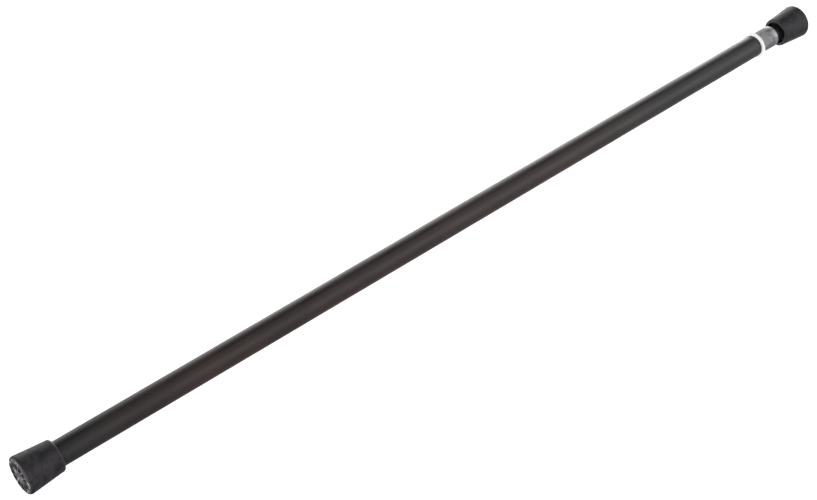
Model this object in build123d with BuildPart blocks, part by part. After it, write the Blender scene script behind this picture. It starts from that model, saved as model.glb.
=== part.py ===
from build123d import *
import os

# A telescopic pull-up bar. Units are millimetres. The bar lies along X: the fixed foot's outer face is at
# X = 0, the moving foot's is at X = bar_length, and Z is up. Positions along the bar have names ending in _x.

# ---- Driving dimensions ----
bar_length = 1054.0
extension = 180.0  # how far the inner tube screws out

tube_radius = 12.5
tube_bore = 10.5
inner_radius = 9.525
inner_bore = 7.525

cup_length = 38.3
cup_base = 7.0
cup_face_radius = 19.5
cup_face_round = 3.2
cup_rim_radius = 16.0
cup_rim_round = 1.6
cup_bore = 12.9
tread_outer = 14.2
tread_inner = 7.6
tread_depth = 1.8
tread_ribs = 12
tread_rib_width = 2.0
edge_break = 0.6
tube_edge_break = 0.5
plug_edge_break = 0.8
small_edge_break = 0.4
loose_gap = 0.2

screw_radius = 6.0
screw_root = 4.3
screw_pitch = 3.0
journal_radius = 3.95
stop_stud_radius = 3.0
stop_stud_length = 9.0
pin_radius = 2.0
rivet_radius = 1.5

flange_radius = 15.8
flange_length = 2.6
nose_radius = 11.0
nose_length = 14.5
collet_slots = 4
slot_width = 1.2

collar_radius = 12.3
collar_length = 26.4
collar_rim_length = 6.5
groove_width = 1.0
groove_depth = 0.5
neck_length = 9.1  # thin tube in sight between the collar and the moving foot
sleeve_recess = 8.0  # from the moving foot's mouth to its sleeve

running_gap = 0.08  # radial, between pieces that turn or slide on each other
face_gap = 0.1  # along the axis, between pieces that turn against each other

# ---- Positions along the bar ----
disc_thickness = 2.0
disc_x = cup_base
bearing_x = disc_x + disc_thickness
bearing_flange = 8.0
spigot_x = bearing_x + bearing_flange
spigot_length = 13.0
washer_thickness = 1.5
stop_gap = 0.4
tube_start_x = spigot_x + washer_thickness + face_gap
plug_gap = 1.0
plug_x = spigot_x + spigot_length + plug_gap
plug_length = 31.0
pin_inset = 3.5
pin_x = plug_x + pin_inset
nut_x = plug_x + plug_length + stop_gap
nut_flange = 4.0
nut_body = 25.0
inner_start_x = nut_x + nut_flange
rivet_inset = 12.0
rivet_x = inner_start_x + rivet_inset
end_play = 0.6
screw_end_x = inner_start_x + nut_body + extension + end_play
collar_gap = 0.3
neck_end_x = bar_length - cup_length
collar_end_x = neck_end_x - neck_length
collar_x = collar_end_x - collar_length
nose_x = collar_x - collar_gap
tube_end_x = nose_x - flange_length
squeeze_x = nose_x + nose_length + collar_gap
squeeze_length = 4.0
web_gap = 0.2
web_x = squeeze_x + squeeze_length + web_gap
sleeve_x = neck_end_x + sleeve_recess
moving_disc_x = bar_length - cup_base - disc_thickness
sleeve_web = 3.0
inner_end_x = moving_disc_x - sleeve_web

os.makedirs("parts", exist_ok=True)


# ---- Fixed foot: stays still against the wall ----

with BuildPart() as fixed_foot_cup:
    with BuildSketch(Plane.XZ):
        with BuildLine():
            Polyline(
                (0, 0),
                (0, cup_face_radius),
                (cup_length, cup_rim_radius),
                (cup_length, cup_bore),
                (cup_base, cup_bore),
                (cup_base, 0),
                close=True,
            )
        make_face()
    revolve(axis=Axis.X)
    end_edges = fixed_foot_cup.edges().filter_by(GeomType.CIRCLE).sort_by(SortBy.RADIUS)
    fillet(end_edges[-1], radius=cup_face_round)
    fillet(end_edges[-2], radius=cup_rim_round)
    with BuildSketch(Plane.YZ):
        Circle(tread_outer)
        Circle(tread_inner, mode=Mode.SUBTRACT)
        with PolarLocations((tread_outer + tread_inner) / 2, tread_ribs):
            Rectangle(tread_outer - tread_inner + tread_rib_width, tread_rib_width, mode=Mode.SUBTRACT)
    extrude(amount=tread_depth, mode=Mode.SUBTRACT)
fixed_foot_cup.part.label = "fixed_foot_cup"
export_step(fixed_foot_cup.part, "parts/fixed_foot_cup.step")

with BuildPart() as fixed_foot_load_disc:
    with BuildSketch(Plane.YZ.offset(disc_x)):
        Circle(cup_bore)
    extrude(amount=disc_thickness)
fixed_foot_load_disc.part.label = "fixed_foot_load_disc"
export_step(fixed_foot_load_disc.part, "parts/fixed_foot_load_disc.step")

# The bearing's flange sits in the cup, its spigot carries the outer tube, and its counterbore holds the nut.
counterbore_depth = 6.2
counterbore_radius = 8.4
with BuildPart() as fixed_foot_bearing:
    with BuildSketch(Plane.YZ.offset(bearing_x)):
        Circle(cup_bore)
    extrude(amount=bearing_flange)
    with BuildSketch(Plane.YZ.offset(spigot_x)):
        Circle(tube_bore - running_gap)
    extrude(amount=spigot_length)
    chamfer(fixed_foot_bearing.faces().sort_by(Axis.X)[-1].edges(), length=edge_break)
    with BuildSketch(Plane.YZ.offset(bearing_x)):
        Circle(journal_radius + running_gap)
    extrude(amount=bearing_flange + spigot_length, mode=Mode.SUBTRACT)
    with BuildSketch(Plane.YZ.offset(bearing_x)):
        Circle(counterbore_radius)
    extrude(amount=counterbore_depth, mode=Mode.SUBTRACT)
fixed_foot_bearing.part.label = "fixed_foot_bearing"
export_step(fixed_foot_bearing.part, "parts/fixed_foot_bearing.step")

with BuildPart() as fixed_foot_thrust_washer:
    with BuildSketch(Plane.YZ.offset(spigot_x)):
        Circle(tube_radius - 0.1)
        Circle(tube_bore, mode=Mode.SUBTRACT)
    extrude(amount=washer_thickness)
fixed_foot_thrust_washer.part.label = "fixed_foot_thrust_washer"
export_step(fixed_foot_thrust_washer.part, "parts/fixed_foot_thrust_washer.step")


# ---- Outer tube: turns, and carries the drive screw ----

with BuildPart() as outer_tube:
    with BuildSketch(Plane.YZ.offset(tube_start_x)):
        Circle(tube_radius)
    extrude(amount=tube_end_x - tube_start_x)
    chamfer(outer_tube.edges(), length=tube_edge_break)
    with BuildSketch(Plane.YZ.offset(tube_start_x)):
        Circle(tube_bore)
    extrude(amount=tube_end_x - tube_start_x, mode=Mode.SUBTRACT)
    with BuildSketch():
        with Locations((pin_x, 0)):
            Circle(pin_radius)
    extrude(amount=tube_radius, both=True, mode=Mode.SUBTRACT)
outer_tube.part.label = "outer_tube"
export_step(outer_tube.part, "parts/outer_tube.step")

with BuildPart() as screw_anchor_plug:
    with BuildSketch(Plane.YZ.offset(plug_x)):
        Circle(tube_bore)
    extrude(amount=plug_length)
    chamfer(screw_anchor_plug.edges(), length=plug_edge_break)
    with BuildSketch(Plane.YZ.offset(plug_x)):
        Circle(screw_radius)
    extrude(amount=plug_length, mode=Mode.SUBTRACT)
    with BuildSketch():
        with Locations((pin_x, 0)):
            Circle(pin_radius)
    extrude(amount=tube_bore, both=True, mode=Mode.SUBTRACT)
screw_anchor_plug.part.label = "screw_anchor_plug"
export_step(screw_anchor_plug.part, "parts/screw_anchor_plug.step")

with BuildPart() as anchor_cross_pin:
    with BuildSketch():
        with Locations((pin_x, 0)):
            Circle(pin_radius)
    extrude(amount=tube_radius - loose_gap, both=True)
    chamfer(anchor_cross_pin.edges().filter_by(GeomType.CIRCLE), length=small_edge_break)
anchor_cross_pin.part.label = "anchor_cross_pin"
export_step(anchor_cross_pin.part, "parts/anchor_cross_pin.step")

# The thread is cut as plain rings of the real pitch and depth, from the anchor plug to the free end.
journal_start_x = bearing_x + 0.5
shoulder_x = plug_x - stop_gap
thread_start_x = plug_x + plug_length
thread_rings = int((screw_end_x - thread_start_x) / screw_pitch)
flank = 0.35
with BuildPart() as drive_screw:
    with BuildSketch(Plane.YZ.offset(journal_start_x)):
        Circle(journal_radius)
    extrude(amount=shoulder_x - journal_start_x)
    with BuildSketch(Plane.YZ.offset(shoulder_x)):
        Circle(screw_radius)
    extrude(amount=screw_end_x - shoulder_x)
    with BuildSketch(Plane.YZ.offset(screw_end_x)):
        Circle(stop_stud_radius)
    extrude(amount=stop_stud_length)
    chamfer(drive_screw.faces().sort_by(Axis.X)[0].edges(), length=edge_break)
    chamfer(drive_screw.faces().sort_by(Axis.X)[-1].edges(), length=edge_break)
    with BuildSketch(Plane.XZ):
        for ring in range(thread_rings):
            groove_x = thread_start_x + (ring + 0.5) * screw_pitch
            with BuildLine():
                Polyline(
                    (groove_x - screw_pitch / 4 - flank, screw_radius + 0.2),
                    (groove_x - screw_pitch / 4 + flank, screw_root),
                    (groove_x + screw_pitch / 4 - flank, screw_root),
                    (groove_x + screw_pitch / 4 + flank, screw_radius + 0.2),
                    close=True,
                )
            make_face()
    revolve(axis=Axis.X, mode=Mode.SUBTRACT)
    with BuildSketch():
        with Locations((pin_x, 0)):
            Circle(pin_radius)
    extrude(amount=tube_bore, both=True, mode=Mode.SUBTRACT)
drive_screw.part.label = "drive_screw"
export_step(drive_screw.part, "parts/drive_screw.step")

# A washer and a thin nut keep the screw's journal in the bearing.
journal_nut_height = 4.0
journal_nut_flats = 13.0
journal_washer_x = journal_start_x + journal_nut_height
journal_washer_thickness = bearing_x + counterbore_depth - face_gap - journal_washer_x
with BuildPart() as screw_journal_washer:
    with BuildSketch(Plane.YZ.offset(journal_washer_x)):
        Circle(counterbore_radius - 0.5)
        Circle(journal_radius + loose_gap, mode=Mode.SUBTRACT)
    extrude(amount=journal_washer_thickness)
screw_journal_washer.part.label = "screw_journal_washer"
export_step(screw_journal_washer.part, "parts/screw_journal_washer.step")

with BuildPart() as screw_journal_nut:
    with BuildSketch(Plane.YZ.offset(journal_start_x)):
        RegularPolygon(journal_nut_flats / 2, 6, major_radius=False)
        Circle(journal_radius, mode=Mode.SUBTRACT)
    extrude(amount=journal_nut_height)
screw_journal_nut.part.label = "screw_journal_nut"
export_step(screw_journal_nut.part, "parts/screw_journal_nut.step")

# A washer and a nut on the screw's free end stop the drive nut at full extension.
stop_washer_thickness = 2.0
stop_nut_flats = 10.0
stop_nut_height = 5.0
with BuildPart() as screw_stop_washer:
    with BuildSketch(Plane.YZ.offset(screw_end_x)):
        Circle(inner_bore - 0.4)
        Circle(stop_stud_radius + loose_gap, mode=Mode.SUBTRACT)
    extrude(amount=stop_washer_thickness)
screw_stop_washer.part.label = "screw_stop_washer"
export_step(screw_stop_washer.part, "parts/screw_stop_washer.step")

with BuildPart() as screw_stop_nut:
    with BuildSketch(Plane.YZ.offset(screw_end_x + stop_washer_thickness)):
        RegularPolygon(stop_nut_flats / 2, 6, major_radius=False)
        Circle(stop_stud_radius, mode=Mode.SUBTRACT)
    extrude(amount=stop_nut_height)
screw_stop_nut.part.label = "screw_stop_nut"
export_step(screw_stop_nut.part, "parts/screw_stop_nut.step")

# The bush is pressed into the tube's end. Its flange is the white ring, and its slotted nose is the collet.
bush_depth = 36.0
slot_start_x = nose_x + 4.0
slot_reach = 6.0
with BuildPart() as tube_end_bush:
    with BuildSketch(Plane.YZ.offset(tube_end_x - bush_depth)):
        Circle(tube_bore)
    extrude(amount=bush_depth)
    with BuildSketch(Plane.YZ.offset(tube_end_x)):
        Circle(flange_radius)
    extrude(amount=flange_length)
    flange_edges = tube_end_bush.edges().filter_by(GeomType.CIRCLE)
    fillet(flange_edges.group_by(SortBy.RADIUS)[-1], radius=edge_break)
    with BuildSketch(Plane.YZ.offset(nose_x)):
        Circle(nose_radius)
    extrude(amount=nose_length)
    chamfer(tube_end_bush.faces().sort_by(Axis.X)[-1].edges(), length=edge_break)
    with BuildSketch(Plane.YZ.offset(tube_end_x - bush_depth)):
        Circle(inner_radius + running_gap)
    extrude(amount=bush_depth + flange_length + nose_length, mode=Mode.SUBTRACT)
    with BuildSketch(Plane.YZ.offset(slot_start_x)):
        with PolarLocations(nose_radius, collet_slots):
            Rectangle(slot_reach, slot_width)
    extrude(amount=nose_length, mode=Mode.SUBTRACT)
tube_end_bush.part.label = "tube_end_bush"
export_step(tube_end_bush.part, "parts/tube_end_bush.step")


# ---- Lock collar: a screwed ring that squeezes the collet onto the inner tube ----

with BuildPart() as collet_squeeze_ring:
    with BuildSketch(Plane.XZ):
        with BuildLine():
            Polyline(
                (squeeze_x, nose_radius - 0.4),
                (squeeze_x, nose_radius),
                (squeeze_x + squeeze_length, nose_radius),
                (squeeze_x + squeeze_length, inner_radius + 0.1),
                (squeeze_x + 1.4, inner_radius + 0.1),
                close=True,
            )
        make_face()
    revolve(axis=Axis.X)
collet_squeeze_ring.part.label = "collet_squeeze_ring"
export_step(collet_squeeze_ring.part, "parts/collet_squeeze_ring.step")

collar_groove_x = collar_end_x - collar_rim_length - groove_width
with BuildPart() as lock_collar:
    with BuildSketch(Plane.YZ.offset(collar_x)):
        Circle(collar_radius)
    extrude(amount=collar_length)
    chamfer(lock_collar.edges(), length=edge_break)
    with BuildSketch(Plane.YZ.offset(collar_x)):
        Circle(nose_radius + running_gap)
    extrude(amount=web_x - collar_x, mode=Mode.SUBTRACT)
    with BuildSketch(Plane.YZ.offset(web_x)):
        Circle(inner_radius + 0.3)
    extrude(amount=collar_end_x - web_x, mode=Mode.SUBTRACT)
    with BuildSketch(Plane.YZ.offset(collar_groove_x)):
        Circle(collar_radius)
        Circle(collar_radius - groove_depth, mode=Mode.SUBTRACT)
    extrude(amount=groove_width, mode=Mode.SUBTRACT)
lock_collar.part.label = "lock_collar"
export_step(lock_collar.part, "parts/lock_collar.step")


# ---- Inner tube: slides, and carries the moving foot ----

with BuildPart() as inner_tube:
    with BuildSketch(Plane.YZ.offset(inner_start_x)):
        Circle(inner_radius)
        Circle(inner_bore, mode=Mode.SUBTRACT)
    extrude(amount=inner_end_x - inner_start_x)
    with BuildSketch():
        with Locations((rivet_x, 0)):
            Circle(rivet_radius)
    extrude(amount=inner_radius, both=True, mode=Mode.SUBTRACT)
inner_tube.part.label = "inner_tube"
export_step(inner_tube.part, "parts/inner_tube.step")

# Each rivet reaches from inside the nut's wall to just below the guide ring's surface.
rivet_inner = screw_radius + 0.5
rivet_outer = tube_bore - 0.25
with BuildPart() as drive_nut_rivets:
    with BuildSketch(Plane.XY.offset(rivet_inner)):
        with Locations((rivet_x, 0)):
            Circle(rivet_radius)
    extrude(amount=rivet_outer - rivet_inner)
    mirror(about=Plane.XY)
drive_nut_rivets.part.label = "drive_nut_rivets"
export_step(drive_nut_rivets.part, "parts/drive_nut_rivets.step")

with BuildPart() as drive_nut:
    with BuildSketch(Plane.YZ.offset(nut_x)):
        Circle(inner_radius + 0.7)
    extrude(amount=nut_flange)
    with BuildSketch(Plane.YZ.offset(inner_start_x)):
        Circle(inner_bore)
    extrude(amount=nut_body)
    with BuildSketch(Plane.YZ.offset(nut_x)):
        Circle(screw_radius + running_gap)
    extrude(amount=nut_flange + nut_body, mode=Mode.SUBTRACT)
    add(drive_nut_rivets.part, mode=Mode.SUBTRACT)
drive_nut.part.label = "drive_nut"
export_step(drive_nut.part, "parts/drive_nut.step")

guide_length = 20.0
with BuildPart() as inner_guide_ring:
    with BuildSketch(Plane.YZ.offset(inner_start_x)):
        Circle(tube_bore - running_gap)
    extrude(amount=guide_length)
    chamfer(inner_guide_ring.edges(), length=small_edge_break)
    with BuildSketch(Plane.YZ.offset(inner_start_x)):
        Circle(inner_radius)
    extrude(amount=guide_length, mode=Mode.SUBTRACT)
    with BuildSketch():
        with Locations((rivet_x, 0)):
            Circle(rivet_radius)
    extrude(amount=tube_bore, both=True, mode=Mode.SUBTRACT)
inner_guide_ring.part.label = "inner_guide_ring"
export_step(inner_guide_ring.part, "parts/inner_guide_ring.step")

# The sleeve fills the moving foot's mouth round the thinner tube, and its web closes the tube's end.
foot_screw_radius = 2.5
with BuildPart() as moving_foot_sleeve:
    with BuildSketch(Plane.YZ.offset(sleeve_x)):
        Circle(cup_bore)
    extrude(amount=moving_disc_x - sleeve_x)
    chamfer(moving_foot_sleeve.faces().sort_by(Axis.X)[0].edges(), length=edge_break)
    with BuildSketch(Plane.YZ.offset(sleeve_x)):
        Circle(inner_radius)
    extrude(amount=inner_end_x - sleeve_x, mode=Mode.SUBTRACT)
    with BuildSketch(Plane.YZ.offset(inner_end_x)):
        Circle(foot_screw_radius + 0.2)
    extrude(amount=sleeve_web, mode=Mode.SUBTRACT)
moving_foot_sleeve.part.label = "moving_foot_sleeve"
export_step(moving_foot_sleeve.part, "parts/moving_foot_sleeve.step")

end_plug_length = 24.0
with BuildPart() as inner_tube_end_plug:
    with BuildSketch(Plane.YZ.offset(inner_end_x - end_plug_length)):
        Circle(inner_bore)
    extrude(amount=end_plug_length)
    chamfer(inner_tube_end_plug.faces().sort_by(Axis.X)[0].edges(), length=plug_edge_break)
    with BuildSketch(Plane.YZ.offset(inner_end_x - end_plug_length)):
        Circle(foot_screw_radius)
    extrude(amount=end_plug_length, mode=Mode.SUBTRACT)
inner_tube_end_plug.part.label = "inner_tube_end_plug"
export_step(inner_tube_end_plug.part, "parts/inner_tube_end_plug.step")

screw_head_radius = 4.6
screw_head_height = 1.8
hex_socket_flats = 3.0
hex_socket_depth = 1.2
with BuildPart() as moving_foot_load_disc:
    with BuildSketch(Plane.YZ.offset(moving_disc_x)):
        Circle(cup_bore)
        Circle(screw_head_radius + 0.4, mode=Mode.SUBTRACT)
    extrude(amount=disc_thickness)
moving_foot_load_disc.part.label = "moving_foot_load_disc"
export_step(moving_foot_load_disc.part, "parts/moving_foot_load_disc.step")

foot_screw_length = 20.0
with BuildPart() as moving_foot_screw:
    with BuildSketch(Plane.YZ.offset(moving_disc_x - foot_screw_length)):
        Circle(foot_screw_radius)
    extrude(amount=foot_screw_length)
    with BuildSketch(Plane.YZ.offset(moving_disc_x)):
        Circle(screw_head_radius)
    extrude(amount=screw_head_height)
    with BuildSketch(Plane.YZ.offset(moving_disc_x + screw_head_height)):
        RegularPolygon(hex_socket_flats / 2, 6, major_radius=False)
    extrude(amount=-hex_socket_depth, mode=Mode.SUBTRACT)
moving_foot_screw.part.label = "moving_foot_screw"
export_step(moving_foot_screw.part, "parts/moving_foot_screw.step")

# The moving foot's cup is the same part as the fixed foot's, turned round.
with BuildPart() as moving_foot_cup:
    mirror(fixed_foot_cup.part, about=Plane.YZ.offset(bar_length / 2))
moving_foot_cup.part.label = "moving_foot_cup"
export_step(moving_foot_cup.part, "parts/moving_foot_cup.step")
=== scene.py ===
import math

import bmesh
import bpy
import numpy as np
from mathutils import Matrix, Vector


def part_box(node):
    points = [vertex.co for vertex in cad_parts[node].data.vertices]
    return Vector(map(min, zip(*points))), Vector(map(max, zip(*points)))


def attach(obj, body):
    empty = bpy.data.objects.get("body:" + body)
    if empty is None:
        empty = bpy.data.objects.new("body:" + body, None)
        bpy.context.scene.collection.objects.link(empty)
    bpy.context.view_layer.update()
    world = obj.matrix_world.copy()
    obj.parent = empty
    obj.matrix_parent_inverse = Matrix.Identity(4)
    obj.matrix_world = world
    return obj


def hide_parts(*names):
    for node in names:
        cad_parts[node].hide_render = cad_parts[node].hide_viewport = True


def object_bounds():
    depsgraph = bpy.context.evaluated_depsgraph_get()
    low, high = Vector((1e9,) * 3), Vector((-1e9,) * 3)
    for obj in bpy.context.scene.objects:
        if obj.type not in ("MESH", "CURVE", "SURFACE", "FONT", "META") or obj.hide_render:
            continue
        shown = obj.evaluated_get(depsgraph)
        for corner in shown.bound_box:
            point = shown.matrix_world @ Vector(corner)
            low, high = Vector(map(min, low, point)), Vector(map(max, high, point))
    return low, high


# A telescopic pull-up bar. Units are metres. The bar lies along X, from the fixed foot's face at X = 0.
# Every visible round piece is a grid of rings round the bar's axis: x is the place along it, r the radius.

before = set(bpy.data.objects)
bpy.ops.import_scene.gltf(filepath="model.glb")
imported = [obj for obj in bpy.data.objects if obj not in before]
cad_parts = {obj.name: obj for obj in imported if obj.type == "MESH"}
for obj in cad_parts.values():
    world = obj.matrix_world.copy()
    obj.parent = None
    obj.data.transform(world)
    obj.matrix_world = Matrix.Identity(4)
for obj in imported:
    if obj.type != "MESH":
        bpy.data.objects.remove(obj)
cad_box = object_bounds()


# ---- Meshes ----


def rounded(corners, steps=5):
    """The points (x, r) of an outline through corners (x, r, radius), with an arc for each radius but 0."""
    points = []
    for number, (x, r, radius) in enumerate(corners):
        here = np.array((x, r))
        if radius == 0:
            points.append(here)
            continue
        before = np.array(corners[number - 1][:2]) - here
        after = np.array(corners[(number + 1) % len(corners)][:2]) - here
        before /= np.linalg.norm(before)
        after /= np.linalg.norm(after)
        half_turn = math.acos(before @ after) / 2
        middle = (before + after) / np.linalg.norm(before + after)
        centre = here + middle * radius / math.sin(half_turn)
        start = here + before * radius / math.tan(half_turn) - centre
        end = here + after * radius / math.tan(half_turn) - centre
        sweep = math.pi - 2 * half_turn
        for step in range(steps + 1):
            share = step / steps
            arm = (start * math.sin((1 - share) * sweep) + end * math.sin(share * sweep)) / math.sin(sweep)
            points.append(centre + arm)
    return np.array(points)


def held(outline, near=0.0004, closed=True):
    """The outline with a point near each end of its long runs, which keeps smooth shading even on them."""
    points = []
    long_run = near * 4
    for number, start in enumerate(outline):
        points.append(start)
        if number == len(outline) - 1 and not closed:
            break
        end = outline[(number + 1) % len(outline)]
        length = np.linalg.norm(end - start)
        if length > long_run:
            points.append(start + (end - start) * near / length)
            points.append(end - (end - start) * near / length)
    return np.array(points)


def divided(outline, longest, low_x, high_x):
    """The closed outline with more points on its runs that lie between low_x and high_x."""
    points = []
    for number, start in enumerate(outline):
        end = outline[(number + 1) % len(outline)]
        inside = min(start[0], end[0]) >= low_x and max(start[0], end[0]) <= high_x
        parts = max(1, math.ceil(np.linalg.norm(end - start) / longest)) if inside else 1
        points.extend(start + (end - start) * part / parts for part in range(parts))
    return np.array(points)


def even_angles(around):
    """Angles all the way round the bar, as a row."""
    return np.arange(around)[None, :] * math.tau / around


def between(x, start, end, fade):
    """1 from start to end along the bar, with a slope of length fade inside each end, and 0 past them."""
    return np.clip((x - start) / fade, 0, 1) * np.clip((end - x) / fade, 0, 1)


def placed(name, mesh):
    """A new object of the mesh, in the scene."""
    made = bpy.data.objects.new(name, mesh)
    bpy.context.scene.collection.objects.link(made)
    return made


def built(name, work):
    """A new object in the scene from the bmesh, which is freed."""
    mesh = bpy.data.meshes.new(name)
    work.to_mesh(mesh)
    work.free()
    return placed(name, mesh)


def rings(name, x, r, angle, closed=True):
    """A piece from rings of points round the bar.

    A closed piece's last ring joins its first. An open piece begins and ends on the axis.
    """
    merge_distance = 1e-6
    x, r, angle = np.broadcast_arrays(x, r, angle)
    rows, columns = x.shape
    points = np.stack((x, r * np.cos(angle), r * np.sin(angle)), axis=-1).reshape(-1, 3)
    row = np.arange(rows if closed else rows - 1)[:, None]
    column = np.arange(columns)[None, :]
    next_row = (row + 1) % rows
    next_column = (column + 1) % columns
    corners = (
        row * columns + column,
        row * columns + next_column,
        next_row * columns + next_column,
        next_row * columns + column,
    )
    faces = np.stack(corners, axis=-1).reshape(-1, 4)
    mesh = bpy.data.meshes.new(name)
    mesh.from_pydata(points.tolist(), [], faces.tolist())
    work = bmesh.new()
    work.from_mesh(mesh)
    bmesh.ops.remove_doubles(work, verts=work.verts, dist=merge_distance)
    bmesh.ops.recalc_face_normals(work, faces=work.faces)
    work.to_mesh(mesh)
    work.free()
    return placed(name, mesh)


def turned(name, outline, around):
    """A piece turned from the closed outline, with that many points around."""
    outline = held(outline)
    return rings(name, outline[:, :1], outline[:, 1:], even_angles(around))


def cut(piece, cutter):
    """Takes the cutter's shape out of the piece."""
    change = piece.modifiers.new("cut", "BOOLEAN")
    change.object = cutter
    change.operation = "DIFFERENCE"
    change.solver = "EXACT"
    shape = bpy.data.meshes.new_from_object(piece.evaluated_get(bpy.context.evaluated_depsgraph_get()))
    piece.modifiers.clear()
    piece.data = shape
    bpy.data.objects.remove(cutter)


def cutting_block(x_from, x_to, height, depth):
    """A block on the bar's axis, for slots."""
    work = bmesh.new()
    bmesh.ops.create_cube(work, size=1.0)
    bmesh.ops.scale(work, vec=(x_to - x_from, height, depth), verts=work.verts)
    bmesh.ops.translate(work, vec=((x_from + x_to) / 2, 0, 0), verts=work.verts)
    return built("cutter", work)


def cutting_rod(x, radius, length):
    """A rod across the bar, upright, for the pin's and rivets' holes."""
    work = bmesh.new()
    bmesh.ops.create_cone(work, cap_ends=True, segments=32, radius1=radius, radius2=radius, depth=length)
    bmesh.ops.translate(work, vec=(x, 0, 0), verts=work.verts)
    return built("cutter", work)


def finished(piece, body, node, slot, sharp_angle=35):
    """Shades the piece, gives it the slot's finish, and puts it on its body in place of its CAD node."""
    piece.data.shade_smooth()
    piece.data.set_sharp_from_angle(angle=math.radians(sharp_angle))
    piece.data.materials.clear()
    piece.data.materials.append(finishes[slot])
    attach(piece, body)
    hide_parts(node)


# ---- Materials ----


class Finish:
    """A Principled material and the nodes that vary it over the surface, placed in metres."""

    def __init__(self, name, **values):
        self.material = bpy.data.materials.new(name)
        self.material.use_nodes = True
        self.tree = self.material.node_tree
        self.surface = self.tree.nodes["Principled BSDF"]
        self.place = self.node("ShaderNodeTexCoord").outputs["Object"]
        self.normal = None
        for socket, value in values.items():
            self.surface.inputs[socket.replace("_", " ")].default_value = value

    def node(self, kind, inputs=None, **settings):
        made = self.tree.nodes.new(kind)
        for key, value in settings.items():
            setattr(made, key, value)
        for key, value in (inputs or {}).items():
            self.feed(made.inputs[key], value)
        return made

    def feed(self, socket, value):
        if isinstance(value, bpy.types.NodeSocket):
            self.tree.links.new(value, socket)
        else:
            socket.default_value = value

    def set(self, socket, value):
        self.feed(self.surface.inputs[socket], value)

    def noise(self, size, detail=2.0, roughness=0.5, along=1.0, distortion=0.0):
        """Noise from 0 to 1 with features about size across, drawn out "along" times along the bar."""
        scale = (1 / (size * along), 1 / size, 1 / size)
        place = self.node("ShaderNodeMapping", {"Vector": self.place, "Scale": scale})
        settings = {
            "Vector": place.outputs["Vector"],
            "Scale": 1.0,
            "Detail": detail,
            "Roughness": roughness,
            "Distortion": distortion,
        }
        return self.node("ShaderNodeTexNoise", settings).outputs["Fac"]

    def cells(self, size):
        """A value from 0 to 1 for each of the cells about size across that the surface is divided into."""
        settings = {"Vector": self.place, "Scale": 1 / size}
        colour = self.node("ShaderNodeTexVoronoi", settings).outputs["Color"]
        return self.node("ShaderNodeSeparateColor", {"Color": colour}).outputs["Red"]

    def rings_along(self, spacing):
        """Fine lines round the bar, as a lathe tool leaves them, of varying strength."""
        x = self.node("ShaderNodeSeparateXYZ", {"Vector": self.place}).outputs["X"]
        inputs = {"W": self.times(x, 1 / spacing), "Scale": 1.0}
        return self.node("ShaderNodeTexNoise", inputs, noise_dimensions="1D").outputs["Fac"]

    def times(self, value, factor):
        return self.node("ShaderNodeMath", {0: value, 1: factor}, operation="MULTIPLY").outputs["Value"]

    def plus(self, value, other):
        return self.node("ShaderNodeMath", {0: value, 1: other}, operation="ADD").outputs["Value"]

    def spread(self, value, low, high, to_low=0.0, to_high=1.0):
        """The value, mapped from low and high to to_low and to_high, and held between them."""
        inputs = {"Value": value, "From Min": low, "From Max": high, "To Min": to_low, "To Max": to_high}
        return self.node("ShaderNodeMapRange", inputs).outputs["Result"]

    def near_x(self, x, reach):
        """1 at x, falling to 0 at reach on both sides."""
        place = self.node("ShaderNodeSeparateXYZ", {"Vector": self.place}).outputs["X"]
        offset = self.node("ShaderNodeMath", {0: self.plus(place, -x)}, operation="ABSOLUTE").outputs["Value"]
        return self.spread(offset, 0.0, reach, 1.0, 0.0)

    def colours(self, value, *stops):
        """The colour at value among stops (position, colour)."""
        ramp = self.node("ShaderNodeValToRGB", {"Fac": value})
        points = ramp.color_ramp.elements
        while len(points) < len(stops):
            points.new(0.5)
        for point, (position, colour) in zip(points, stops):
            point.position = position
            point.color = (*colour, 1)
        return ramp.outputs["Color"]

    def blend(self, factor, first, second):
        """The colour first where factor is 0, second where it is 1."""
        mix = self.node("ShaderNodeMix", data_type="RGBA")
        for number, value in ((0, factor), (6, first), (7, second)):
            self.feed(mix.inputs[number], (*value, 1) if isinstance(value, tuple) else value)
        return mix.outputs[2]

    def bump(self, height, depth):
        """Raises the surface by height times depth, on top of the bumps before it."""
        inputs = {"Height": height, "Distance": depth, "Strength": 1.0}
        if self.normal is not None:
            inputs["Normal"] = self.normal
        self.normal = self.node("ShaderNodeBump", inputs).outputs["Normal"]
        self.set("Normal", self.normal)


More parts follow.
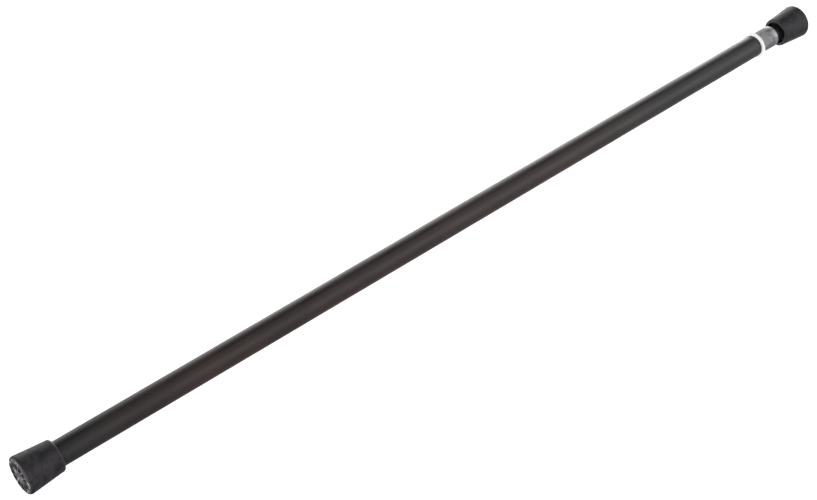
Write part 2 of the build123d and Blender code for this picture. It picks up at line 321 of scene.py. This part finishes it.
def black_coating():
    """Satin black paint on steel tube: a faint orange peel, hand smudges, hairline rubs and a worn end."""
    finish = Finish("satin_black_coating", Specular_IOR_Level=0.55)
    grip_middle = 0.43
    grip_reach = 0.40
    dust = (0.070, 0.065, 0.064)
    worn_paint = (0.095, 0.090, 0.088)
    bare_steel = (0.33, 0.32, 0.31)
    tone = finish.noise(0.030, detail=4, roughness=0.6, along=2.0)
    cool = finish.colours(tone, (0.35, (0.0085, 0.0080, 0.0088)), (0.65, (0.0150, 0.0138, 0.0148)))
    warm = finish.colours(tone, (0.38, (0.0180, 0.0100, 0.0090)), (0.62, (0.0300, 0.0160, 0.0145)))
    handled = finish.spread(finish.near_x(grip_middle, grip_reach), 0.0, 0.40)
    tint = finish.blend(handled, cool, warm)
    speckle = finish.spread(finish.noise(0.0011, detail=3, roughness=0.7), 0.62, 0.78)
    dusted = finish.blend(finish.times(speckle, 0.40), tint, dust)
    rub = finish.spread(finish.noise(0.0007, detail=3, along=45), 0.66, 0.80)
    rubbed = finish.blend(finish.times(rub, 0.35), dusted, worn_paint)
    chips = finish.spread(finish.noise(0.0009, detail=4, roughness=0.65), 0.50, 0.56)
    worn = finish.times(chips, finish.near_x(tube_end, WORN_EDGE))
    finish.set("Base Color", finish.blend(worn, rubbed, bare_steel))
    smudge = finish.spread(finish.noise(0.018, detail=4, along=2.5), 0.28, 0.74, 0.24, 0.42)
    finish.set("Roughness", finish.plus(smudge, finish.times(rub, 0.10)))
    finish.bump(finish.noise(0.0011, detail=1), 0.000014)
    finish.bump(finish.noise(0.0060, detail=2, along=2), 0.000055)
    finish.bump(rub, -0.000004)
    return finish.material


def black_rubber():
    """Moulded rubber, dull and a little dusty, with flow marks, scuffs, and pale patches on the feet's faces
    that are partly wall paint and partly painted highlights standing in for glints off the tread's ribs.
    """
    finish = Finish("moulded_black_rubber", Specular_IOR_Level=0.45)
    dust_grey = (0.110, 0.104, 0.106)
    scuff_grey = (0.125, 0.118, 0.120)
    # Pale grey of the patches on the feet's faces: partly wall paint, partly painted highlight.
    paint_and_glint_grey = (0.46, 0.45, 0.43)
    flow = finish.noise(0.0085, detail=5, roughness=0.66, distortion=0.8)
    tone = finish.colours(flow, (0.42, (0.0030, 0.0024, 0.0036)), (0.58, (0.0240, 0.0192, 0.0250)))
    dust = finish.spread(finish.noise(0.00070, detail=3, roughness=0.75), 0.58, 0.78)
    dusty = finish.blend(finish.times(dust, 0.50), tone, dust_grey)
    scuff = finish.spread(finish.noise(0.0026, detail=5, roughness=0.7, distortion=1.4), 0.62, 0.74)
    scuffed = finish.blend(finish.times(scuff, 0.35), dusty, scuff_grey)
    # Pale patches on the feet's faces: partly wall paint, partly painted highlights standing in for glints
    # off the tread's ribs.
    faces = finish.plus(finish.near_x(0.0, TREAD_SKIN), finish.near_x(bar_end, TREAD_SKIN))
    paint_and_glint_smear = finish.spread(finish.noise(0.0050, detail=3, roughness=0.55, distortion=0.5), 0.56, 0.66)
    paint_and_glint_mask = finish.times(finish.times(paint_and_glint_smear, faces), 0.85)
    finish.set("Base Color", finish.blend(paint_and_glint_mask, scuffed, paint_and_glint_grey))
    finish.set("Roughness", finish.spread(flow, 0.36, 0.64, 0.32, 0.62))
    finish.bump(finish.noise(0.00030, detail=3, roughness=0.6), 0.000022)
    finish.bump(finish.noise(0.0030, detail=3), 0.000090)
    return finish.material


def white_nylon():
    """Moulded white nylon with grime in patches."""
    finish = Finish("white_nylon", Specular_IOR_Level=0.5)
    grime = finish.noise(0.0042, detail=4, roughness=0.6)
    clean = (0.93, 0.93, 0.92)
    handled = (0.90, 0.89, 0.87)
    grimy = (0.80, 0.78, 0.74)
    finish.set("Base Color", finish.colours(grime, (0.38, clean), (0.64, handled), (0.82, grimy)))
    finish.set("Roughness", finish.spread(grime, 0.3, 0.7, 0.38, 0.52))
    finish.bump(finish.noise(0.0006, detail=2), 0.000010)
    finish.bump(finish.rings_along(0.00025), 0.000006)
    return finish.material


def black_nylon():
    """Moulded black nylon with a fine, slightly glossy grain."""
    finish = Finish("black_nylon", Specular_IOR_Level=0.5)
    tone = finish.noise(0.0038, detail=3)
    dark = (0.011, 0.011, 0.012)
    light = (0.021, 0.020, 0.021)
    finish.set("Base Color", finish.colours(tone, (0.35, dark), (0.7, light)))
    finish.set("Roughness", finish.spread(tone, 0.3, 0.7, 0.36, 0.50))
    finish.bump(finish.noise(0.0005, detail=2), 0.000012)
    return finish.material


def zinc_plate():
    """Dull zinc plating: cloudy, with a fine crystal mottle and turning marks."""
    finish = Finish("dull_zinc_plate", Metallic=1.0)
    cloud = finish.noise(0.0036, detail=4, roughness=0.62, distortion=0.6)
    dark = (0.21, 0.21, 0.22)
    middle = (0.33, 0.33, 0.345)
    light = (0.44, 0.44, 0.455)
    tone = finish.colours(cloud, (0.36, dark), (0.52, middle), (0.66, light))
    crystal = finish.cells(0.00045)
    bright = (0.58, 0.58, 0.60)
    finish.set("Base Color", finish.blend(finish.times(crystal, 0.30), tone, bright))
    haze = finish.spread(cloud, 0.3, 0.7, 0.30, 0.46)
    finish.set("Roughness", finish.plus(haze, finish.times(crystal, 0.08)))
    finish.bump(finish.noise(0.00035, detail=3), 0.000008)
    finish.bump(finish.rings_along(0.00018), 0.000005)
    return finish.material


def plain_steel():
    """Bare turned steel with tool rings and an oily cast."""
    finish = Finish("turned_steel", Metallic=1.0)
    cast = finish.noise(0.007, detail=3)
    finish.set("Base Color", finish.colours(cast, (0.3, (0.33, 0.33, 0.34)), (0.7, (0.47, 0.46, 0.45))))
    finish.set("Roughness", finish.spread(finish.rings_along(0.0003), 0.3, 0.7, 0.26, 0.42))
    finish.bump(finish.rings_along(0.0003), 0.000008)
    return finish.material


def bronze():
    """Machined bearing bronze, a little tarnished."""
    finish = Finish("machined_bronze", Metallic=1.0)
    tarnish = finish.noise(0.005, detail=4, roughness=0.6)
    tone = finish.colours(tarnish, (0.3, (0.66, 0.44, 0.22)), (0.7, (0.40, 0.26, 0.14)))
    finish.set("Base Color", tone)
    finish.set("Roughness", finish.spread(tarnish, 0.3, 0.7, 0.28, 0.44))
    finish.bump(finish.rings_along(0.00025), 0.000006)
    return finish.material


# ---- Places along the bar, from the frame ----

bar_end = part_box("moving_foot_cup")[1].x
cup_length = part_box("fixed_foot_cup")[1].x
tube_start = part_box("outer_tube")[0].x
tube_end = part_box("outer_tube")[1].x
tube_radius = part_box("outer_tube")[1].z
bush_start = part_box("tube_end_bush")[0].x
bush_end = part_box("tube_end_bush")[1].x
flange_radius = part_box("tube_end_bush")[1].z
collar_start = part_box("lock_collar")[0].x
collar_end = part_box("lock_collar")[1].x
collar_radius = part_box("lock_collar")[1].z
squeeze_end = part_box("collet_squeeze_ring")[1].x
inner_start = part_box("inner_tube")[0].x
inner_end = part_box("inner_tube")[1].x
inner_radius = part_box("inner_tube")[1].z
sleeve_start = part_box("moving_foot_sleeve")[0].x
sleeve_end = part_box("moving_foot_sleeve")[1].x
pin_low, pin_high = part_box("anchor_cross_pin")
rivet_low, rivet_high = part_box("drive_nut_rivets")

# ---- Sizes that a box doesn't give ----

TUBE_WALL = 0.0020
CUP_BASE = 0.0070
CUP_FACE_RADIUS = 0.0195
CUP_RIM_RADIUS = 0.0160
CUP_BORE = 0.0129
CUP_FACE_ROUND = 0.0032
CUP_RIM_ROUND = 0.0016
POCKET_OUTER = 0.0142
POCKET_INNER = 0.0076
POCKET_DEPTH = 0.0018
POCKET_WALL = 0.0006
POCKET_CORNER = 0.0009
RIBS = 12
RIB_WIDTH = 0.0020
GATE_RADIUS = 0.0018
GATE_DEPTH = 0.00030
FLANGE_LENGTH = 0.0026
NOSE_RADIUS = 0.0110
COLLAR_RIM = 0.0065
COLLAR_WEB_GAP = 0.0002
GROOVE_WIDTH = 0.0010
GROOVE_DEPTH = 0.0005
RUNNING_GAP = 0.00008
LOOSE_GAP = 0.0003
THREAD_PITCH = 0.0015
THREAD_DEPTH = 0.00045
SLOT_WIDTH = 0.0012
KNURLS = 56
KNURL_DEPTH = 0.00026
WORN_EDGE = 0.0007
TREAD_SKIN = 0.0008

finishes = {
    make.__name__: make()
    for make in (
        black_coating,
        black_rubber,
        white_nylon,
        black_nylon,
        zinc_plate,
        plain_steel,
        bronze,
    )
}


# ---- The hidden CAD nodes keep their shapes and get the finish of their slot ----

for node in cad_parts.values():
    for holder in node.material_slots:
        holder.material = finishes[holder.material.name]


# ---- Feet: moulded rubber cups with a ribbed tread ----


def rib_angles(r):
    """Angles round the bar for a ring of radius r, close together along the sides of the tread's ribs."""
    least_radius = POCKET_INNER * 0.8
    radius = max(r, least_radius)
    side = math.asin(RIB_WIDTH / 2 / radius)
    zone = POCKET_WALL * 0.55 / radius
    sector = math.tau / RIBS
    steps = (0, 4, 12, 24)
    half = np.interp(np.arange(steps[-1] + 1), steps, (0, side - zone, side + zone, sector / 2))
    one = np.concatenate((half, sector - half[-2:0:-1]))
    return np.concatenate([one + rib * sector for rib in range(RIBS)])


def face_radii():
    """Radii of the rings on a foot's face, close together along the inner and outer walls of the pockets."""
    gate_end = GATE_RADIUS * 1.4
    beside = 0.0005
    within = 0.0007
    beyond = 0.0004
    pocket_floor = 0.0010
    spacing = 0.0001
    spans = (
        (0, gate_end, 8),
        (gate_end, POCKET_INNER - beside - spacing, 8),
        (POCKET_INNER - beside, POCKET_INNER + within, 14),
        (POCKET_INNER + pocket_floor, POCKET_OUTER - pocket_floor, 14),
        (POCKET_OUTER - within, POCKET_OUTER + beyond, 13),
    )
    return np.unique(np.concatenate([np.linspace(*span) for span in spans]))


def tread_depth(r, angle):
    """How far the tread's pockets go in at a point of the face: rounded in plan, with sloping sides."""
    sector = math.tau / RIBS
    turn = np.abs((angle + sector / 2) % sector - sector / 2)
    side = r * np.sin(turn) - RIB_WIDTH / 2
    ends = np.minimum(r - POCKET_INNER, POCKET_OUTER - r)
    past_side = np.maximum(POCKET_CORNER - side, 0)
    past_ends = np.maximum(POCKET_CORNER - ends, 0)
    corner = POCKET_CORNER - np.hypot(past_side, past_ends)
    inside = np.minimum(np.minimum(side, ends), corner)
    share = np.clip(inside / POCKET_WALL + 0.5, 0, 1)
    smooth = share * share * (3 - 2 * share)
    return POCKET_DEPTH * smooth


def foot_cup(name, body, node, face_x, inward):
    """A cup whose face is at face_x and whose mouth is inward of it, +1 or -1 along the bar."""
    slope = (CUP_FACE_RADIUS - CUP_RIM_RADIUS) / cup_length
    parting_inset = 0.0026
    parting_x = cup_length - parting_inset
    parting_r = CUP_FACE_RADIUS - slope * parting_x
    parting_height = 0.00012
    parting_top = 0.00022
    parting_foot = parting_top * 2
    mouth_round = 0.0003
    well_round = 0.0005
    side = rounded(
        [
            (0, 0, 0),
            (0, CUP_FACE_RADIUS, CUP_FACE_ROUND),
            (parting_x - parting_foot, parting_r + slope * parting_foot, 0),
            (parting_x - parting_top, parting_r + parting_height, 0),
            (parting_x + parting_top, parting_r + parting_height, 0),
            (parting_x + parting_foot, parting_r - slope * parting_foot, 0),
            (cup_length, CUP_RIM_RADIUS, CUP_RIM_ROUND),
            (cup_length, CUP_BORE, mouth_round),
            (CUP_BASE, CUP_BORE, well_round),
            (CUP_BASE, 0, 0),
        ],
        steps=8,
    )
    # The outline's first points lie on the face, where the rings from face_radii take their place.
    on_the_face = 3
    side = held(side, closed=False)[on_the_face:]
    face_r = face_radii()
    gate = GATE_DEPTH * np.clip(1 - (face_r / GATE_RADIUS) ** 4, 0, 1)
    depth_in = np.concatenate((gate, side[:, 0]))[:, None]
    r = np.concatenate((face_r, side[:, 1]))[:, None]
    angle = np.array([rib_angles(radius) for radius in r[:, 0]])
    on_face = np.concatenate((np.ones(len(face_r)), np.zeros(len(side))))[:, None]
    depth_in = depth_in + on_face * tread_depth(r, angle)
    cup = rings(name, face_x + inward * depth_in, r, angle, closed=False)
    finished(cup, body, node, "black_rubber")


foot_cup("fixed_cup_rubber", "fixed_foot", "fixed_foot_cup", 0.0, 1)
foot_cup("moving_cup_rubber", "inner_tube", "moving_foot_cup", bar_end, -1)


def sleeve():
    """The sleeve round the thin tube, deep in the moving foot's mouth."""
    web = 0.0030
    screw_hole = 0.0027
    edge = 0.0002
    front_edge = 0.0007
    back_edge = 0.0003
    outline = rounded(
        [
            (sleeve_start, inner_radius, edge),
            (sleeve_start, CUP_BORE, front_edge),
            (sleeve_end, CUP_BORE, back_edge),
            (sleeve_end, screw_hole, edge),
            (sleeve_end - web, screw_hole, edge),
            (sleeve_end - web, inner_radius, edge),
        ]
    )
    piece = turned("moving_foot_sleeve_nylon", outline, around=192)
    finished(piece, "inner_tube", "moving_foot_sleeve", "black_nylon")


sleeve()


# ---- Tubes ----


def tube(name, body, node, start, end, radius, hole_x, hole_radius):
    """A coated tube with rolled ends and one hole across it."""
    outer_round = 0.0005
    inner_round = 0.0003
    outline = rounded(
        [
            (start, radius - TUBE_WALL, inner_round),
            (start, radius, outer_round),
            (end, radius, outer_round),
            (end, radius - TUBE_WALL, inner_round),
        ]
    )
    piece = turned(name, outline, around=224)
    cut(piece, cutting_rod(hole_x, hole_radius, radius * 2.5))
    finished(piece, body, node, "black_coating")


tube(
    "outer_tube_coated",
    "outer_tube",
    "outer_tube",
    tube_start,
    tube_end,
    tube_radius,
    (pin_low.x + pin_high.x) / 2,
    pin_high.y,
)
tube(
    "inner_tube_coated",
    "inner_tube",
    "inner_tube",
    inner_start,
    inner_end,
    inner_radius,
    (rivet_low.x + rivet_high.x) / 2,
    rivet_high.y,
)


# ---- Tube-end bush: the white flange, and the threaded and slotted nose inside the collar ----


def bush():
    """The flange and the nose, which has a thread cut into it and two slots across it."""
    shank_radius = tube_radius - TUBE_WALL
    bore = inner_radius + RUNNING_GAP
    nose_start = tube_end + FLANGE_LENGTH
    thread_start = nose_start + 0.0004
    thread_end = nose_start + 0.0100
    edge = 0.0002
    shank_edge = 0.0005
    flange_edge = 0.0008
    nose_edge = 0.0006
    outline = rounded(
        [
            (bush_start, bore, edge),
            (bush_start, shank_radius, shank_edge),
            (tube_end, shank_radius, 0),
            (tube_end, flange_radius, flange_edge),
            (nose_start, flange_radius, flange_edge),
            (nose_start, NOSE_RADIUS, edge),
            (bush_end, NOSE_RADIUS, nose_edge),
            (bush_end, bore, edge),
        ]
    )
    beside = 0.0001
    spacing = 0.00012
    outline = divided(held(outline), spacing, nose_start + beside, bush_end)
    x = outline[:, :1]
    r = outline[:, 1:]
    angle = even_angles(192)
    turn = (x / THREAD_PITCH - angle / math.tau) % 1
    groove = np.clip(1.5 - 4 * np.abs(turn - 0.5), 0, 1)
    on_nose = (np.abs(r - NOSE_RADIUS) < beside) & (x > nose_start)
    depth_in = on_nose * groove * between(x, thread_start, thread_end, THREAD_PITCH) * THREAD_DEPTH
    piece = rings("tube_end_bush_nylon", x, r - depth_in, angle)
    slot_start = nose_start + 0.0040
    slot_end = bush_end + 0.001
    across = flange_radius * 2
    cut(piece, cutting_block(slot_start, slot_end, SLOT_WIDTH, across))
    cut(piece, cutting_block(slot_start, slot_end, across, SLOT_WIDTH))
    finished(piece, "outer_tube", "tube_end_bush", "white_nylon")


bush()


# ---- Lock collar: knurled, with a smooth rim ----


def collar():
    """The collar, with a diamond knurl as far as the groove that sets off its rim."""
    groove_start = collar_end - COLLAR_RIM - GROOVE_WIDTH
    groove_end = groove_start + GROOVE_WIDTH
    groove_radius = collar_radius - GROOVE_DEPTH
    bore = NOSE_RADIUS + RUNNING_GAP
    web_start = squeeze_end + COLLAR_WEB_GAP
    web_bore = inner_radius + LOOSE_GAP
    edge = 0.0005
    bore_edge = 0.0003
    web_edge = 0.0002
    groove_edge = 0.0002
    groove_foot = 0.0001
    outline = rounded(
        [
            (collar_start, bore, bore_edge),
            (collar_start, collar_radius, edge),
            (groove_start, collar_radius, groove_edge),
            (groove_start, groove_radius, groove_foot),
            (groove_end, groove_radius, groove_foot),
            (groove_end, collar_radius, groove_edge),
            (collar_end, collar_radius, edge),
            (collar_end, web_bore, bore_edge),
            (web_start, web_bore, web_edge),
            (web_start, bore, web_edge),
        ]
    )
    pitch = math.tau * collar_radius / KNURLS
    samples = 9
    knurl_start = collar_start + edge
    knurl_end = groove_start - groove_edge
    knurl_fade = 0.0007
    slack = 0.00001
    outline = divided(outline, pitch / samples, knurl_start - slack, knurl_end + slack)
    x = outline[:, :1]
    r = outline[:, 1:]
    angle = even_angles(KNURLS * samples)
    right = (angle / math.tau * KNURLS + x / pitch) % 1
    left = (angle / math.tau * KNURLS - x / pitch) % 1
    ridge = np.minimum(1 - np.abs(2 * right - 1), 1 - np.abs(2 * left - 1))
    diamond = np.minimum(ridge * 1.5, 1)
    outside = r > collar_radius - slack
    depth_in = outside * between(x, knurl_start, knurl_end, knurl_fade) * (1 - diamond) * KNURL_DEPTH
    piece = rings("lock_collar_knurled", x, r - depth_in, angle)
    finished(piece, "lock_collar", "lock_collar", "zinc_plate", sharp_angle=50)


collar()


# ---- Floor, light and camera ----


def floor():
    """A pale studio floor under the bar, much larger than the view."""
    half_width = 6.0
    glow = 0.92
    work = bmesh.new()
    bmesh.ops.create_grid(work, x_segments=2, y_segments=2, size=half_width)
    bmesh.ops.translate(work, vec=(bar_end / 2, 0, cad_box[0].z), verts=work.verts)
    ground = built("floor", work)
    finish = Finish("pale_floor", Roughness=0.75, Specular_IOR_Level=0.2, Emission_Strength=glow)
    finish.set("Emission Color", (1, 1, 1, 1))
    tone = finish.colours(finish.noise(0.25, detail=2), (0.3, (0.78, 0.78, 0.78)), (0.7, (0.82, 0.82, 0.82)))
    finish.set("Base Color", tone)
    ground.data.materials.append(finish.material)
    ground.visible_glossy = False


floor()


def studio():
    """A room lit by long strips beside the bar. The camera itself sees a plain pale backdrop.

    A strip's place is its angle round the bar's axis: 0 is overhead, 90 behind the bar, -90 in front of it.
    The strips are brightest towards the bar's two ends.
    """
    world = bpy.data.worlds.new("studio")
    bpy.context.scene.world = world
    world.use_nodes = True
    tree = world.node_tree

    def made(kind, inputs, **settings):
        node = tree.nodes.new(kind)
        for key, value in settings.items():
            setattr(node, key, value)
        for key, value in inputs.items():
            if isinstance(value, bpy.types.NodeSocket):
                tree.links.new(value, node.inputs[key])
            else:
                node.inputs[key].default_value = value
        return node

    def ramp(value, low, high, stops):
        """The grey at value, among stops (place, grey) from low to high."""
        share = made("ShaderNodeMapRange", {"Value": value, "From Min": low, "From Max": high})
        node = made("ShaderNodeValToRGB", {"Fac": share.outputs["Result"]})
        points = node.color_ramp.elements
        while len(points) < len(stops):
            points.new(0.5)
        for point, (place, grey) in zip(points, stops):
            point.position = (place - low) / (high - low)
            point.color = (grey, grey, grey, 1)
        return node.outputs["Color"]

    direction = made("ShaderNodeTexCoord", {}).outputs["Generated"]
    parts = made("ShaderNodeSeparateXYZ", {"Vector": direction}).outputs
    turn = made("ShaderNodeMath", {0: parts["Y"], 1: parts["Z"]}, operation="ARCTAN2").outputs["Value"]
    degrees = made("ShaderNodeMath", {0: turn}, operation="DEGREES").outputs["Value"]
    strips = ramp(
        degrees,
        -180,
        180,
        (
            (-180, 0.6),
            (-120, 0.75),
            (-90, 1.5),
            (-60, 2.8),
            (-30, 1.6),
            (0, 1.35),
            (26, 0.05),
            (60, 2.3),
            (90, 5.0),
            (120, 1.8),
            (150, 2.6),
            (180, 0.6),
        ),
    )
    along_x = ((-1.0, 1.30), (-0.45, 0.45), (-0.2, 0.16), (0.05, 0.06), (1.0, 1.02))
    towards_x = ramp(parts["X"], -1, 1, along_x)
    light = made("ShaderNodeMix", {0: 1.0, 6: strips, 7: towards_x}, data_type="RGBA", blend_type="MULTIPLY")
    seen = made("ShaderNodeLightPath", {}).outputs["Is Camera Ray"]
    plain = (0.95, 0.95, 0.95, 1)
    backdrop = made("ShaderNodeMix", {0: seen, 6: light.outputs[2], 7: plain}, data_type="RGBA")
    tree.links.new(backdrop.outputs[2], tree.nodes["Background"].inputs["Color"])


studio()

CAMERA_TURN = math.radians(-40.9)
CAMERA_HEIGHT = math.radians(42.73)
CAMERA_DISTANCE = 1.733
CAMERA_AIM = 0.4523
CAMERA_DROP = 0.0017
LENS = 76.04

back = Vector(
    (
        math.sin(CAMERA_TURN) * math.cos(CAMERA_HEIGHT),
        -math.cos(CAMERA_TURN) * math.cos(CAMERA_HEIGHT),
        math.sin(CAMERA_HEIGHT),
    )
)
lens = bpy.data.cameras.new("camera")
lens.lens = LENS
camera = bpy.data.objects.new("camera", lens)
camera.rotation_euler = (-back).to_track_quat("-Z", "Y").to_euler()
upward = camera.rotation_euler.to_matrix() @ Vector((0, 1, 0))
camera.location = Vector((CAMERA_AIM, 0, 0)) - upward * CAMERA_DROP + back * CAMERA_DISTANCE
bpy.context.scene.collection.objects.link(camera)
bpy.context.scene.camera = camera
bpy.context.scene.view_settings.view_transform = "Standard"
